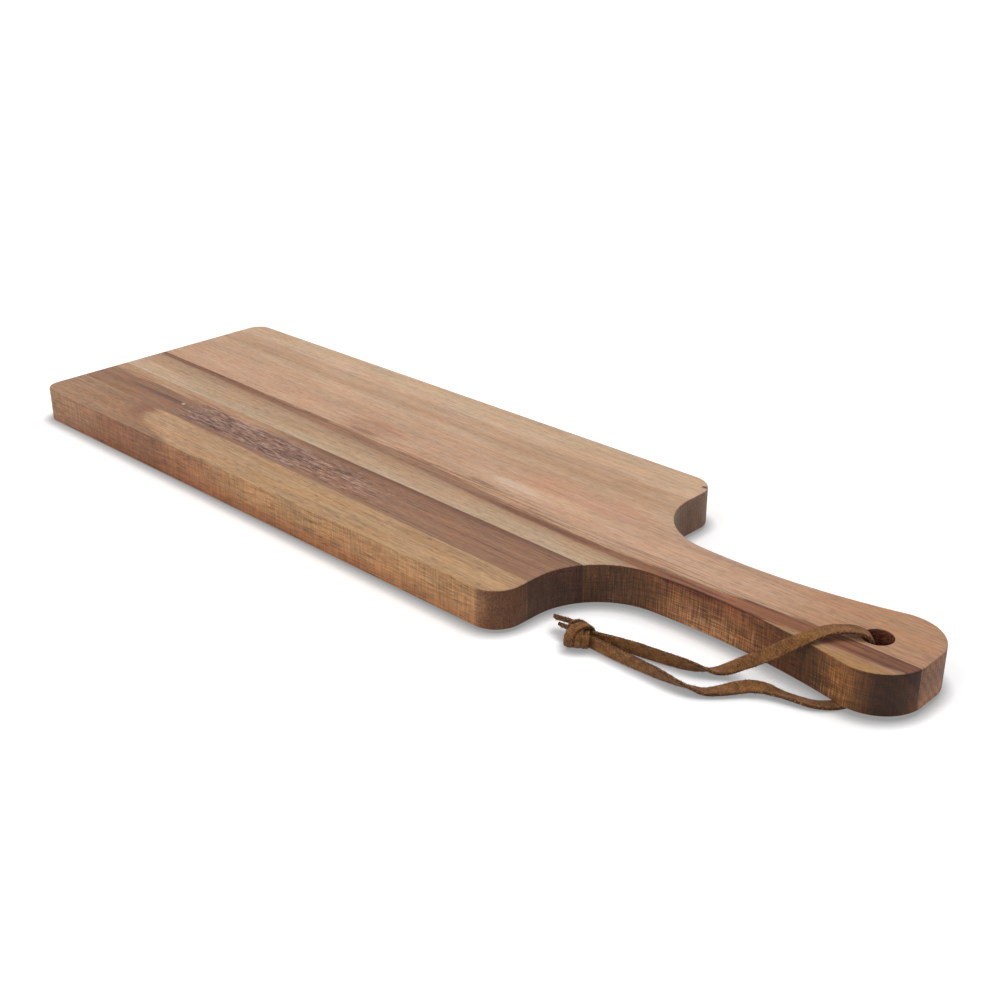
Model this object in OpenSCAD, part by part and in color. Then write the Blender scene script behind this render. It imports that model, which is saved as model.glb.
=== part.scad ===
// Paddle serving board: four staves glued edge to edge, with a drilled handle and a tied leather thong.
// Millimetres. +X runs along the board to the handle, +Y to its far side, +Z up from the table.

/* [Body] */
// Length of the body, from the square end to the shoulders
body_l = 350; // [300:1:400]
// Width of the body
board_w = 150; // [135:1:200]
// Thickness of the board
board_t = 18.5; // [12:0.5:26]
// Radius of the two corners at the square end
corner_r = 9; // [3:0.5:20]
// Radius of the two shoulder corners
shoulder_r = 13; // [5:0.5:16]

/* [Handle] */
// Length of the handle, from the shoulders to its end
handle_l = 150; // [135:1:190]
// Radius of the hollow between shoulder and handle
fillet_r = 35; // [24:0.5:38]
// Distance of the neck's far side from the centre line, where it is narrowest
neck_far = 16.7; // [12:0.1:18]
// Distance of the neck's near side from the centre line, where it is narrowest
neck_near = 15; // [11:0.1:16]
// Where the far side is narrowest, from the shoulders, as a share of the handle's length
neck_far_share = 0.35; // [0.32:0.01:0.42]
// Where the near side is narrowest, from the shoulders, as a share of the handle's length
neck_near_share = 0.37; // [0.33:0.01:0.44]
// Width of the handle's end
tip_w = 50; // [46:0.5:56]
// Radius of the end's two corners
tip_r = 20; // [16:0.5:22]
// How far the end sits to the far side of the centre line
tip_set = 2; // [0:0.1:4]

/* [Hanging hole] */
// Diameter of the hole
hole_d = 12.5; // [10.5:0.5:16]
// Distance of the hole's centre from the handle's end
hole_inset = 23.8; // [20:0.1:30]
// How far the hole sits to the far side of the centre line
hole_set = 2.4; // [0:0.1:5]

/* [Staves] */
// Distance of the far glue line from the centre line at the square end, to the far side
far_joint_set = 4.9; // [1:0.1:7]
// Width of the pale stave
pale_stave_w = 26.7; // [22:0.1:30]
// Width of the dark stave
dark_stave_w = 26.7; // [18:0.1:28]
// Angle between the glue lines and the centre line, in degrees
stave_skew = 1.35; // [1.1:0.05:1.6]
// Thickness of a cured glue line
glue_t = 0.15; // [0.1:0.05:0.4]

/* [Thong] */
// Width of the flat lace
thong_w = 5.5; // [4:0.1:6]
// Thickness of the flat lace
thong_t = 1.5; // [1:0.1:1.6]
// Room between the lace and the underside of the handle
thong_room = 0.5; // [0.4:0.1:2]
// Length of the knot along the strands
knot_l = 13; // [10:0.5:16]
// Width of the knot
knot_w = 15; // [14:0.5:18]
// Height of the knot
knot_h = 10; // [8:0.5:12]

/* [Hidden] */
$fn = 96;

// One overrun serves all cuts
overrun = 1;
// Arcs that run into each other cross by this much
arc_lap = 0.01;

// Lengthwise places, from the square end
board_l = body_l + handle_l;
hole_x = board_l - hole_inset;
tip_x = board_l - tip_r;
// Distances of the end's two corner centres from the centre line
tip_far = tip_w / 2 - tip_r + tip_set;
tip_near = tip_w / 2 - tip_r - tip_set;

// The lace passes under the handle, so the board lies tipped up by this angle about the square end
tip_up = asin((thong_t + thong_room) / hole_x);
mid_x = (board_l * cos(tip_up) - board_t * sin(tip_up)) / 2;
hole_foot = [hole_x * cos(tip_up) - board_t / 2 * sin(tip_up) - mid_x, hole_set, 0];

// Glue lines, from the centre line at the square end
joint_far = far_joint_set;
joint_mid = joint_far - pale_stave_w;
joint_near = joint_mid - dark_stave_w;
reach = board_l + board_w;

// Where each side of the neck is narrowest, from the shoulders
neck_far_at = handle_l * neck_far_share;
neck_near_at = handle_l * neck_near_share;

// Hollow side of the neck: radius of the arc that touches the end's corner, and its centre's distance out
function neck_r(half, at, set) =
  let (k = half - set, d = tip_x - body_l - at, r = tip_r - arc_lap)
  (k * k + d * d - r * r) / (2 * (r - k));
function neck_out(half, at, set) = half + neck_r(half, at, set);
// Distance of the fillet's centre from the centre line, where it touches shoulder and neck arc
function fillet_out(half, at, set) =
  let (rise = neck_r(half, at, set) - fillet_r, run = at - fillet_r)
  neck_out(half, at, set) - sqrt(rise * rise - run * run);
// Direction from the neck arc's centre to the fillet's centre and to the end corner's centre
function fillet_dir(half, at, set) =
  atan2(fillet_out(half, at, set) - neck_out(half, at, set), fillet_r - at);
function tip_dir(half, at, set) = atan2(set - neck_out(half, at, set), tip_x - body_l - at);
// Where the neck arc meets the end's corner
function tip_touch(half, at, set) =
  body_l + at + neck_r(half, at, set) * cos(tip_dir(half, at, set));

// Lace's cross-section, in shares of half its width and half its thickness
section_shares = [
  [1, 0.5], [0.85, 1], [-0.85, 1], [-1, 0.5], [-1, -0.5], [-0.85, -1], [0.85, -1], [1, -0.5]
];
// Knot: front wrap's length against the whole, back wrap's girth against the front one's,
// and corner radius against the height
front_wrap_share = 0.55;
back_wrap_share = 0.9;
wrap_round_share = 0.42;

// Routes of the lace, from the hole's axis on the table: place, then heading and lift of its width
upper_route = [
  [-1, -1.2, 10, -45, 0], [-1, -1.2, 14, -45, 0], [-1.2, -1.7, 17.4, -46, 0],
  [-1.8, -2.6, 20.4, -46, 0], [-3.4, -4.1, 22.6, -44, -2], [-6.5, -6.2, 23.5, -40, -4],
  [-9.9, -9.2, 23.7, -36, -6], [-12.6, -12.8, 23.9, -31, -8], [-14.5, -16.8, 23.8, -26, -12],
  [-16.5, -20.9, 23.2, -22, -22], [-19.3, -24.6, 21.4, -18, -32], [-23.1, -27.5, 18.5, -16, -40],
  [-27.7, -29.7, 14.7, -18, -42], [-32.7, -31.3, 10.9, -22, -40], [-37.7, -32.6, 7.2, -28, -34],
  [-42.2, -34.4, 4.2, -36, -18], [-46.2, -36.4, 2.5, -44, 8], [-49.7, -38.5, 2.5, -52, 34],
  [-53.7, -40.9, 2.9, -62, 62], [-60.5, -43.8, 3, -76, 84], [-69.1, -45.7, 3, -84, 96],
  [-77.7, -47.3, 3, -88, 100], [-85.7, -49.4, 3.1, -88, 98], [-91.2, -51.2, 3.4, -86, 92],
  [-94.7, -51.2, 3.4, -90, 90]
];
lower_route = [
  [-1, -1.2, 10, -45, 0], [-1, -1.2, 7, -45, 0], [-0.9, -1.3, 4, -34, 0],
  [-0.3, -2.4, 1.7, -10, 0], [0.7, -4.6, 0.9, 4, 0], [1.5, -9.2, 0.8, 0, 0],
  [1.5, -15.2, 0.8, -4, 0], [0.3, -21.2, 0.8, -20, 0], [-2.7, -26.2, 0.8, -42, 0],
  [-7.7, -30.2, 1.1, -62, 6], [-14.2, -32.2, 1.5, -72, 12], [-20.2, -33.8, 2, -70, 6],
  [-25.2, -35.8, 2.9, -60, -14], [-29.2, -38.8, 3.4, -50, -27], [-33.1, -42.7, 2.9, -44, -26],
  [-37.2, -47.3, 1.9, -48, -8], [-41.5, -51.5, 1.4, -60, 8], [-45.7, -53.8, 2.2, -72, 28],
  [-51.2, -55.2, 2.7, -82, 48], [-58.2, -55.7, 3, -88, 70], [-66.7, -55.9, 3, -90, 84],
  [-76.7, -56.1, 3, -90, 94], [-85.7, -56.1, 3.1, -90, 97], [-91.2, -55.8, 3.2, -90, 94],
  [-94.7, -55.8, 3.2, -90, 90]
];
// Last ring of the lower route that is still under or close beside the handle
under_rings = 9;
// Tails, from the middle of the knot's back face
tail_long_route = [
  [0, 1, 0.9, -80, 25], [-2.5, 1, 0.9, -76, 25], [-4.5, 0.2, 0.9, -60, 25], [-8.5, -1.4, 1, -50, 25]
];
tail_short_route = [[0, -2.2, -0.8, -80, 20], [-2, -2.2, -0.8, -76, 22], [-3.8, -2.8, -0.8, -60, 24]];

// Middle of the knot's front and back faces
strand_end = upper_route[len(upper_route) - 1];
knot_front = [strand_end[0], (strand_end[1] + lower_route[len(lower_route) - 1][1]) / 2, knot_h / 2];
knot_back = [knot_front[0] - knot_l, knot_front[1], knot_front[2]];

function unit(v) = v / norm(v);
function spot(row) = [row[0], row[1], row[2]];
function along(route, i) =
  unit(spot(route[min(i + 1, len(route) - 1)]) - spot(route[max(i - 1, 0)]));
// Width direction of the lace at a point of its route, square to the route
function across(route, i) =
  let (
    t = along(route, i),
    h = route[i][3],
    l = route[i][4],
    w = [cos(h) * cos(l), sin(h) * cos(l), sin(l)]
  )
  unit(w - (w * t) * t);
function ring(route, i) =
  let (w = across(route, i), n = cross(along(route, i), w))
  [for (s = section_shares) spot(route[i]) + s[0] * thong_w / 2 * w + s[1] * thong_t / 2 * n];

// Flat lace swept along the rings first to last of its route
module lace(route, first, last) {
  sides = len(section_shares);
  count = last - first + 1;
  points = [for (i = [first:last], p = ring(route, i)) p];
  walls = [
    for (i = [0:count - 2], s = [0:sides - 1])
      let (a = i * sides + s, b = i * sides + (s + 1) % sides)
      each [[b, a, a + sides], [b, a + sides, b + sides]]
  ];
  start_cap = [for (s = [1:sides - 2]) [0, s, s + 1]];
  foot = (count - 1) * sides;
  end_cap = [for (s = [1:sides - 2]) [foot, foot + s + 1, foot + s]];
  polyhedron(points, concat(walls, start_cap, end_cap));
}

// Rectangle with round corners about the origin
module pill(w, h, r) {
  square([w - 2 * r, h], center = true);
  square([w, h - 2 * r], center = true);
  for (x = [-1, 1], y = [-1, 1])
    translate([x * (w / 2 - r), y * (h / 2 - r)])
      circle(r);
}

// Body with its own radius at each end
module body_outline() {
  half = board_w / 2;
  translate([corner_r, -half])
    square([body_l - corner_r - shoulder_r, board_w]);
  translate([0, corner_r - half])
    square([body_l / 2, board_w - 2 * corner_r]);
  translate([body_l / 2, shoulder_r - half])
    square([body_l / 2, board_w - 2 * shoulder_r]);
  for (side = [-1, 1]) {
    translate([corner_r, side * (half - corner_r)])
      circle(corner_r);
    translate([body_l - shoulder_r, side * (half - shoulder_r)])
      circle(shoulder_r);
  }
}

// Far half of the handle, up to where the neck arc meets the end's corner
module neck_half(half, at, set) {
  arc_r = neck_r(half, at, set);
  out = neck_out(half, at, set);
  fillet_y = fillet_out(half, at, set);
  difference() {
    translate([body_l - shoulder_r, -tip_r / 2])
      square([tip_touch(half, at, set) - body_l + shoulder_r, fillet_y + tip_r / 2]);
    translate([body_l + fillet_r, fillet_y])
      circle(fillet_r + arc_lap);
    intersection() {
      translate([body_l + at, out])
        circle(arc_r);
      translate([body_l + at, out])
        rotate(fillet_dir(half, at, set))
          translate([-arc_r - overrun, 0])
            square([2 * (arc_r + overrun), arc_r + overrun]);
    }
  }
}

module board_outline() {
  body_outline();
  neck_half(neck_far, neck_far_at, tip_far);
  mirror([0, 1])
    neck_half(neck_near, neck_near_at, tip_near);
  for (y = [tip_far, -tip_near])
    translate([tip_x, y])
      circle(tip_r);
  translate([tip_x, -tip_near])
    square([tip_r, tip_far + tip_near]);
}

// Strip of the board between two lines that run along the staves
module board_strip(from, to) {
  linear_extrude(board_t)
    intersection() {
      board_outline();
      rotate(-stave_skew)
        translate([-overrun - board_w, from])
          square([reach + board_w, to - from]);
    }
}

// Board pieces are drawn flat, then laid on the table
module laid() {
  translate([-mid_x, 0, 0])
    rotate([0, -tip_up, 0])
      children();
}

module near_stave() {
  color([0.71, 0.55, 0.42])
    laid()
      board_strip(-reach, joint_near - glue_t / 2);
}

module dark_stave() {
  color([0.55, 0.42, 0.36])
    laid()
      board_strip(joint_near + glue_t / 2, joint_mid - glue_t / 2);
}

module pale_stave() {
  color([0.80, 0.69, 0.55])
    laid()
      board_strip(joint_mid + glue_t / 2, joint_far - glue_t / 2);
}

module wide_stave() {
  color([0.77, 0.61, 0.48])
    laid()
      difference() {
        board_strip(joint_far + glue_t / 2, reach);
        translate([hole_x, hole_set, -overrun])
          cylinder(d = hole_d, h = board_t + 2 * overrun);
      }
}

module glue_line(joint) {
  color([0.35, 0.25, 0.18])
    laid()
      board_strip(joint - glue_t / 2, joint + glue_t / 2);
}

module glue_near() { glue_line(joint_near); }
module glue_mid() { glue_line(joint_mid); }
module glue_far() { glue_line(joint_far); }

// Lengths of leather, in the lace's own brown
module leather(at) {
  color([0.50, 0.34, 0.20])
    translate(at)
      children();
}

module thong_upper() {
  leather(hole_foot)
    lace(upper_route, 0, len(upper_route) - 1);
}

module thong_under() {
  leather(hole_foot)
    lace(lower_route, 0, under_rings);
}

module thong_lower() {
  leather(hole_foot)
    lace(lower_route, under_rings, len(lower_route) - 1);
}

// One wrap of the knot, from its front face toward the tails
module wrap(l, w, h) {
  rotate([90, 0, -90])
    linear_extrude(l)
      translate([0, h / 2])
        pill(w, h, h * wrap_round_share);
}

module thong_knot() {
  front_l = knot_l * front_wrap_share;
  leather(hole_foot + [knot_front[0], knot_front[1], 0]) {
    wrap(front_l, knot_w, knot_h);
    translate([-front_l, 0, 0])
      wrap(knot_l - front_l, knot_w * back_wrap_share, knot_h * back_wrap_share);
  }
}

module tail_long() {
  leather(hole_foot + knot_back)
    lace(tail_long_route, 0, len(tail_long_route) - 1);
}

module tail_short() {
  leather(hole_foot + knot_back)
    lace(tail_short_route, 0, len(tail_short_route) - 1);
}

near_stave();
dark_stave();
pale_stave();
wide_stave();
glue_near();
glue_mid();
glue_far();
thong_upper();
thong_under();
thong_lower();
thong_knot();
tail_long();
tail_short();
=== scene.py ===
"""Dresses the paddle serving board: glued hardwood staves and a knotted flat leather thong."""
import logging
import math
from dataclasses import dataclass
from enum import Enum
from typing import Callable, Dict, List, Optional, Sequence, Tuple, Union

import bmesh
import bpy
from mathutils import Matrix, Vector


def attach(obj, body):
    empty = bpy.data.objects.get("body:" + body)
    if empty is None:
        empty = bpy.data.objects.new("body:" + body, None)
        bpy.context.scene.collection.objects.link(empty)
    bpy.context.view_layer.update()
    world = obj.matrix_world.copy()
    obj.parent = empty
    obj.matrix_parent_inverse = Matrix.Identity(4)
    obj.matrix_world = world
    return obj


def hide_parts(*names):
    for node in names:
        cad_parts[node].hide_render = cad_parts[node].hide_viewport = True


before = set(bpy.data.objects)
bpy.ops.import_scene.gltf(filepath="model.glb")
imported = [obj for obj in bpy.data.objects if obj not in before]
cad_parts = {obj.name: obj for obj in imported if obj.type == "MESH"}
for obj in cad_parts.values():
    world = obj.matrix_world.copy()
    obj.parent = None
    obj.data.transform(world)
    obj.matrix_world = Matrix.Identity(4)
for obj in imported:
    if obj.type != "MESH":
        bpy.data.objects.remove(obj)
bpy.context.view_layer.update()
LOG = logging.getLogger("paddle_board")

Point2 = Tuple[float, float]
Point3 = Tuple[float, float, float]
Colour = Tuple[float, float, float, float]
Tone = Tuple[int, int, int]
Row = Tuple[float, ...]
Settings = Optional[Dict[str, object]]
Sockets = Optional[Dict[Union[int, str], object]]
MM = 0.001
WHITE: Colour = (1.0, 1.0, 1.0, 1.0)
BLACK: Colour = (0.0, 0.0, 0.0, 1.0)


def srgb(red: float, green: float, blue: float) -> Colour:
    """Turn a screen colour of 0 to 255 into a linear one.

    Args:
        red: Red share.
        green: Green share.
        blue: Blue share.

    Returns:
        The colour as linear red, green, blue and alpha.
    """
    def linear(level: float) -> float:
        """Undo the screen curve of one share."""
        share = level / 255
        return share / 12.92 if share <= 0.04045 else ((share + 0.055) / 1.055) ** 2.4
    return linear(red), linear(green), linear(blue), 1.0


def put(name: str, data: bpy.types.ID) -> bpy.types.Object:
    """Put a mesh, a lamp or a camera into the scene as an object.

    Args:
        name: The object's name.
        data: What it holds.

    Returns:
        The object.
    """
    thing = bpy.data.objects.new(name, data)
    bpy.context.collection.objects.link(thing)
    return thing


def operator_for(operation: str, flip: bool = False) -> Callable[["Wire", "Value"], "Wire"]:
    """Make one of the operators of a wire.

    Args:
        operation: The Math node's operation.
        flip: Whether the wire comes second, as in 1 - wire.

    Returns:
        The method.
    """
    def work(wire: "Wire", other: "Value") -> "Wire":
        """Add the Math node."""
        return wire.bench.math(operation, *((other, wire) if flip else (wire, other)))
    return work


class Wire:
    """One shader value. Python sums on it add Math nodes."""

    def __init__(self, bench: "Nodes", socket: bpy.types.NodeSocket) -> None:
        """Keep the socket and the tree that it is on."""
        self.bench = bench
        self.socket = socket

    __add__ = __radd__ = operator_for("ADD")
    __mul__ = __rmul__ = operator_for("MULTIPLY")
    __sub__, __rsub__ = operator_for("SUBTRACT"), operator_for("SUBTRACT", flip=True)
    __truediv__, __rtruediv__ = operator_for("DIVIDE"), operator_for("DIVIDE", flip=True)

    def __abs__(self) -> "Wire":
        """Drop the sign."""
        return self.bench.math("ABSOLUTE", self)

    def step(self, low: float, high: float) -> "Wire":
        """Rise smoothly from 0 to 1.

        Args:
            low: Where it is 0.
            high: Where it is 1; it may be less than low.

        Returns:
            The share.
        """
        flip = low > high
        return self.bench.take("ShaderNodeMapRange", {"interpolation_type": "SMOOTHSTEP"}, {
            "Value": self, "From Min": min(low, high), "From Max": max(low, high),
            "To Min": 1.0 if flip else 0.0, "To Max": 0.0 if flip else 1.0}, "Result")


Value = Union[Wire, float]


class Nodes:
    """A node tree and the few ways in which nodes are put on it."""

    def __init__(self, tree: bpy.types.NodeTree) -> None:
        """Start on this tree, emptied."""
        self.tree = tree
        tree.nodes.clear()

    def node(self, kind: str, settings: Settings = None, sockets: Sockets = None) -> bpy.types.Node:
        """Add one node.

        Args:
            kind: Node type.
            settings: Properties, set first; stops fill a ramp and points fill a curve.
            sockets: Values or wires, by the socket's name or number.

        Returns:
            The node.
        """
        node = self.tree.nodes.new(kind)
        for key, value in (settings or {}).items():
            if key == "stops":
                ramp = node.color_ramp.elements
                while len(ramp) < len(value):
                    ramp.new(0.5)
                for stop, (place, colour) in zip(ramp, value):
                    stop.position = place
                    stop.color = colour
            elif key == "points":
                curve = node.mapping.curves[0]
                while len(curve.points) < len(value):
                    curve.points.new(0.5, 0.5)
                for spot, place in zip(curve.points, value):
                    spot.location = place
                node.mapping.update()
            else:
                setattr(node, key, value)
        for key, value in (sockets or {}).items():
            if isinstance(value, Wire):
                self.tree.links.new(value.socket, node.inputs[key])
            else:
                node.inputs[key].default_value = value
        return node

    def take(self, kind: str, settings: Settings = None, sockets: Sockets = None, out: Union[int, str] = 0) -> Wire:
        """Add one node and give one of its outputs, by name or number."""
        return Wire(self, self.node(kind, settings, sockets).outputs[out])

    def math(self, operation: str, first: Value, second: Value = 0.0) -> Wire:
        """Add a Math node and give its result."""
        return self.take("ShaderNodeMath", {"operation": operation}, {0: first, 1: second})

    def split(self, vector: Wire) -> List[Wire]:
        """Part a vector into its three numbers."""
        return [Wire(self, out) for out in self.node("ShaderNodeSeparateXYZ", None, {0: vector}).outputs]

    def scale(self, vector: Wire, factor: Value) -> Wire:
        """Scale a vector, or make a colour lighter or darker."""
        return self.take("ShaderNodeVectorMath", {"operation": "SCALE"}, {0: vector, "Scale": factor})

    def noise(self, place: Sequence[Value], detail: float = 2.0, rough: float = 0.5) -> Wire:
        """Read smooth noise about 0.5.

        Args:
            place: Where, in noise cells.
            detail: Number of finer layers.
            rough: Weight of the finer layers.

        Returns:
            The noise.
        """
        where = self.take("ShaderNodeCombineXYZ", None, dict(enumerate(place)))
        return self.take("ShaderNodeTexNoise", {"noise_dimensions": "3D"}, {
            "Vector": where, "Scale": 1.0, "Detail": detail, "Roughness": rough})


class Bench(Nodes):
    """A material's node tree."""

    def __init__(self, name: str) -> None:
        """Start an empty material.

        Args:
            name: Its name.
        """
        self.material = bpy.data.materials.new(name)
        self.material.use_nodes = True
        super().__init__(self.material.node_tree)

    def place(self) -> List[Wire]:
        """Read the place on the piece, in millimetres."""
        return [part * (1 / MM) for part in self.split(self.take("ShaderNodeTexCoord", out="Object"))]

    def mix(self, first: object, second: object, share: Value, blend: str = "MIX") -> Wire:
        """Mix two colours or wires; the share is how much of the second."""
        return self.take("ShaderNodeMix", {"data_type": "RGBA", "blend_type": blend, "clamp_factor": True},
                         {0: share, 6: first, 7: second}, 2)

    def tint(self, colour: Wire, tone: Colour, share: Value = 1.0) -> Wire:
        """Multiply a colour by a tint, as far as the share says."""
        return self.mix(colour, tone, share, "MULTIPLY")

    def stain(self, colour: Wire, *marks: Tuple[Union[Wire, Tone], Value]) -> Wire:
        """Lay marks over a colour, one after the other.

        Args:
            colour: What they lie on.
            marks: The screen colour of each, or a wire, and its share.

        Returns:
            The stained colour.
        """
        for tone, share in marks:
            colour = self.mix(colour, tone if isinstance(tone, Wire) else srgb(*tone), share)
        return colour

    def ramp(self, share: Wire, stops: Sequence[Tuple[float, Colour]]) -> Wire:
        """Read a colour ramp with straight runs between its stops."""
        return self.take("ShaderNodeValToRGB", {"stops": stops}, {"Fac": share}, "Color")

    def curve(self, share: Wire, points: Sequence[Point2]) -> Wire:
        """Read a drawn curve whose ends lie at 0 and 1, and which is level beyond them."""
        within = self.math("MINIMUM", self.math("MAXIMUM", share, 0.0), 1.0)
        return self.take("ShaderNodeFloatCurve", {"points": points}, {"Value": within}, "Value")

    def attribute(self, name: str) -> Wire:
        """Read a number that is stored on the mesh."""
        return self.take("ShaderNodeAttribute", {"attribute_name": name}, out="Fac")

    def close(self, colour: Wire, rough: Value, height: Wire, depth: float, sheen: float = 0.0,
              gloss: float = 0.4) -> bpy.types.Material:
        """Finish the material with one shader.

        Args:
            colour: Base colour.
            rough: Roughness.
            height: Relief, from 0 to 1.
            depth: Depth of that relief in metres.
            sheen: Fuzz of leather.
            gloss: Specular level.

        Returns:
            The material.
        """
        bump = self.take("ShaderNodeBump", None, {"Height": height, "Distance": depth, "Strength": 1.0}, "Normal")
        shader = self.take("ShaderNodeBsdfPrincipled", None, {
            "Base Color": colour, "Roughness": rough, "Specular IOR Level": gloss, "Sheen Weight": sheen,
            "Normal": bump})
        self.node("ShaderNodeOutputMaterial", None, {"Surface": shader})
        return self.material


@dataclass
class Paddle:
    """Board's outline and staves, in millimetres, with x from the square end."""

    body_l: float = 350.0
    board_w: float = 150.0
    board_t: float = 18.5
    corner_r: float = 9.0
    shoulder_r: float = 13.0
    handle_l: float = 150.0
    fillet_r: float = 35.0
    neck_far: float = 16.7
    neck_near: float = 15.0
    neck_far_share: float = 0.35
    neck_near_share: float = 0.37
    tip_w: float = 50.0
    tip_r: float = 20.0
    tip_set: float = 2.0
    hole_d: float = 12.5
    hole_inset: float = 23.8
    hole_set: float = 2.4
    far_joint_set: float = 4.9
    stave_w: float = 26.7
    stave_skew: float = 1.35
    glue_t: float = 0.15
    lift: float = 2.0
    ease: float = 0.6
    hole_ease: float = 0.4
    ease_steps: int = 4
    arc_steps: int = 40
    sharp: float = 50.0
    level_cut: float = 0.02
    plane_slack: float = 1e-5

    @property
    def board_l(self) -> float:
        """Length over all."""
        return self.body_l + self.handle_l

    @property
    def hole_x(self) -> float:
        """Place of the hole along the board."""
        return self.board_l - self.hole_inset

    @property
    def tip_x(self) -> float:
        """Place of the end's corner centres along the board."""
        return self.board_l - self.tip_r

    @property
    def tip_up(self) -> float:
        """Angle by which the lace under the handle tips the board."""
        return math.asin(self.lift / self.hole_x)

    @property
    def mid_x(self) -> float:
        """Place of the frame's origin along the board."""
        return (self.board_l * math.cos(self.tip_up) - self.board_t * math.sin(self.tip_up)) / 2

    @property
    def hole_foot(self) -> Vector:
        """Foot of the hole's axis on the table, in frame millimetres."""
        across = self.board_t / 2 * math.sin(self.tip_up)
        return Vector((self.hole_x * math.cos(self.tip_up) - across - self.mid_x, self.hole_set, 0.0))

    def joints(self) -> Tuple[float, float, float]:
        """Places of the glue lines at the square end, near to far."""
        return (self.far_joint_set - 2 * self.stave_w, self.far_joint_set - self.stave_w, self.far_joint_set)

    def arc(self, centre: Point2, radius: float, start: float, end: float) -> List[Point2]:
        """Points of an arc between two directions, in degrees."""
        turn = [math.radians(start + (end - start) * i / self.arc_steps) for i in range(self.arc_steps + 1)]
        return [(centre[0] + radius * math.cos(a), centre[1] + radius * math.sin(a)) for a in turn]

    def side_run(self, half: float, share: float, sway: float, inset: float) -> List[Point2]:
        """Far side from the shoulder corner to the end's flat nose.

        Args:
            half: Distance of the neck from the centre line.
            share: Where the neck is narrowest, as a share of the handle.
            sway: Distance of the end's corner centre from the centre line.
            inset: How far inside the outline to stay.

        Returns:
            The points from the shoulder corner to the nose.
        """
        neck_x = self.body_l + self.handle_l * share
        dip, reach = half - sway, self.tip_x - neck_x
        neck_r = (dip * dip + reach * reach - self.tip_r ** 2) / (2 * (self.tip_r - dip))
        out = half + neck_r
        rise, run = neck_r - self.fillet_r, neck_x - self.body_l - self.fillet_r
        fillet_y = out - math.sqrt(rise * rise - run * run)
        to_fillet = math.degrees(math.atan2(fillet_y - out, self.body_l + self.fillet_r - neck_x)) + 360
        to_tip = math.degrees(math.atan2(sway - out, reach)) + 360
        corner = (self.body_l - self.shoulder_r, self.board_w / 2 - self.shoulder_r)
        return (self.arc(corner, self.shoulder_r - inset, 90, 0)
                + self.arc((self.body_l + self.fillet_r, fillet_y), self.fillet_r + inset, 180, to_fillet)
                + self.arc((neck_x, out), neck_r + inset, to_fillet, to_tip)[1:]
                + self.arc((self.tip_x, sway), self.tip_r - inset, to_tip - 180, 0)[1:])

    def outline(self, inset: float) -> List[Point2]:
        """Draw the closed outline, counter-clockwise.

        Args:
            inset: How far inside the board's edge to stay.

        Returns:
            Its points.
        """
        half = self.board_w / 2 - self.corner_r
        spread = self.tip_w / 2 - self.tip_r
        near = self.side_run(self.neck_near, self.neck_near_share, spread - self.tip_set, inset)
        far = self.side_run(self.neck_far, self.neck_far_share, spread + self.tip_set, inset)
        return (self.arc((self.corner_r, -half), self.corner_r - inset, 180, 270)
                + [(x, -y) for x, y in near] + far[::-1]
                + self.arc((self.corner_r, half), self.corner_r - inset, 90, 180))

    def hole_rim(self, inset: float) -> List[Point2]:
        """Rim of the hole, moved into the wood by inset."""
        return self.arc((self.hole_x, self.hole_set), self.hole_d / 2 + inset, 0, 360)[:-1]

    def blank(self) -> bmesh.types.BMesh:
        """Whole board with eased edges and its hole, lying flat, before it is parted into staves.

        Returns:
            The closed mesh, in board millimetres.
        """
        mesh = bmesh.new()
        quarter = [math.pi / 2 * i / self.ease_steps for i in range(self.ease_steps + 1)]
        lower = [(1 - math.sin(a), 1 - math.cos(a)) for a in quarter]
        levels = ([(inset, up, 0.0) for inset, up in lower]
                  + [(inset, -up, self.board_t) for inset, up in reversed(lower)])
        shells = []
        for size, ring_of in ((self.ease, self.outline), (self.hole_ease, self.hole_rim)):
            rings = [[mesh.verts.new((x, y, base + up * size)) for x, y in ring_of(inset * size)]
                     for inset, up, base in levels]
            for low, high in zip(rings, rings[1:]):
                for i in range(len(low)):
                    j = (i + 1) % len(low)
                    mesh.faces.new((low[i], low[j], high[j], high[i]))
            shells.append(rings)
        for level in (0, -1):
            edges = []
            for rings in shells:
                ring = rings[level]
                edges += [mesh.edges.get((a, b)) for a, b in zip(ring, ring[1:] + ring[:1])]
            bmesh.ops.triangle_fill(mesh, edges=edges, use_beauty=True, use_dissolve=False)
        bmesh.ops.recalc_face_normals(mesh, faces=mesh.faces)
        return mesh

    def strip(self, blank: bmesh.types.BMesh, low: Optional[float], high: Optional[float]) -> bmesh.types.BMesh:
        """Part a strip off the board between two lines along the staves.

        Args:
            blank: The whole board.
            low: Near line at the square end, or None for the near edge.
            high: Far line at the square end, or None for the far edge.

        Returns:
            The closed strip.
        """
        mesh = blank.copy()
        lean = math.radians(self.stave_skew)
        normal = Vector((math.sin(lean), math.cos(lean), 0.0))
        for line, keep_far in ((low, True), (high, False)):
            if line is None:
                continue
            parts = mesh.verts[:] + mesh.edges[:] + mesh.faces[:]
            cut = bmesh.ops.bisect_plane(mesh, geom=parts, dist=self.plane_slack, plane_co=(0.0, line, 0.0),
                                         plane_no=normal, clear_inner=keep_far, clear_outer=not keep_far)
            rim = [e for e in cut["geom_cut"] if isinstance(e, bmesh.types.BMEdge)]
            bmesh.ops.contextual_create(mesh, geom=rim)
        bmesh.ops.recalc_face_normals(mesh, faces=mesh.faces)
        return mesh

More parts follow.
